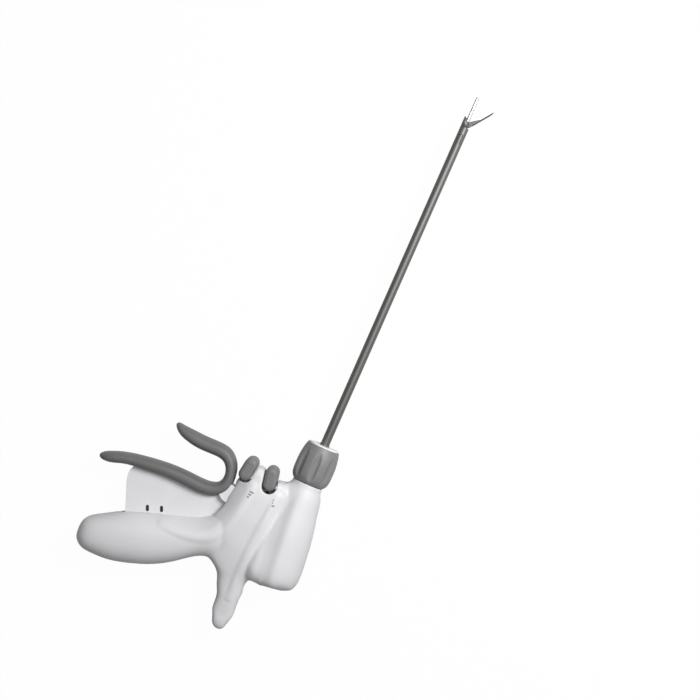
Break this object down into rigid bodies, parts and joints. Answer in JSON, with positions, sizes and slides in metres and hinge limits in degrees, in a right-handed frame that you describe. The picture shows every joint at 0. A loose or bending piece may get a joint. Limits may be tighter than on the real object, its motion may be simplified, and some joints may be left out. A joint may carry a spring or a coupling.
{
  "type": "ultrasonic scalpel",
  "caption": "Hand-held ultrasonic scalpel: pistol grip with hooked trigger and thumb-side buttons, rotation knob, slim shaft, ultrasonic blade and hinged clamp jaw.",
  "frame": {"origin": "centre of the transducer socket's mouth at the rear of the barrel, on the shaft axis", "axes": "+X along the shaft towards the blade tip, +Y from the barrel towards the grip, +Z across the housing towards the left half; the parting plane is Z = 0"},
  "size_m": [0.361, 0.1421, 0.0336],
  "materials": {
    "shell": "satin",
    "grip_rubber": "matte",
    "black_rubber": "matte",
    "knob": "matte",
    "button": "matte",
    "collar": "satin",
    "tube": "satin",
    "blade": "polished",
    "pad": "matte",
    "steel": "satin",
    "brass": "satin",
    "bearing": "matte",
    "board": "satin",
    "silicone": "matte"
  },
  "bodies": {
    "housing": {"housing_left": "shell", "housing_right": "shell", "trigger_pin": "steel", "front_bearing": "bearing", "contact_ring": "brass", "switch_board": "board", "dome_switches": "steel", "return_spring": "steel"},
    "trigger": {"trigger_core": "shell", "trigger_grip": "grip_rubber", "web_stops": "black_rubber", "drive_pins": "steel"},
    "shaft": {"rotation_knob": "knob", "knob_collar": "collar", "outer_tube": "tube", "waveguide_blade": "blade", "waveguide_seals": "silicone", "waveguide_pin": "steel", "jaw_pins": "steel"},
    "drive": {"inner_tube": "tube", "drive_collar": "bearing", "tube_flange": "steel", "limiter_spring": "steel"},
    "jaw": {"clamp_arm": "blade", "clamp_pad": "pad"},
    "low_button": {"button_low": "button"},
    "high_button": {"button_high": "button"}
  },
  "joints": [
    {"name": "trigger_squeeze", "type": "hinge", "parent": "housing", "child": "trigger", "pos_m": [0.043, 0.0185, 0], "axis": [0, 0, 1], "range_deg": [0, 15], "stiffness_Nm_per_rad": 0.3, "springref_deg": -5.73, "deforming": ["return_spring"]},
    {"name": "knob_turn", "type": "hinge", "parent": "housing", "child": "shaft", "pos_m": [0.08, 0, 0], "axis": [1, 0, 0], "continuous": true},
    {"name": "tube_slide", "type": "slide", "parent": "shaft", "child": "drive", "axis": [1, 0, 0], "range_m": [0, 0.00484]},
    {"name": "jaw_pivot", "type": "hinge", "parent": "shaft", "child": "jaw", "pos_m": [0.3066, 0.0002, 0], "axis": [0, 0, 1], "range_deg": [0, 36.01]},
    {"name": "low_button_press", "type": "slide", "parent": "housing", "child": "low_button", "axis": [-1, 0, 0], "range_m": [0, 0.0008], "stiffness_N_per_m": 800, "springref_m": -0.0005},
    {"name": "high_button_press", "type": "slide", "parent": "housing", "child": "high_button", "axis": [-1, 0, 0], "range_m": [0, 0.0008], "stiffness_N_per_m": 800, "springref_m": -0.0005}
  ],
  "couplings": [
    {"joint": "tube_slide", "follows": "trigger_squeeze", "m_per_rad": 0.018447},
    {"joint": "jaw_pivot", "follows": "trigger_squeeze", "ratio": 2.4}
  ]
}
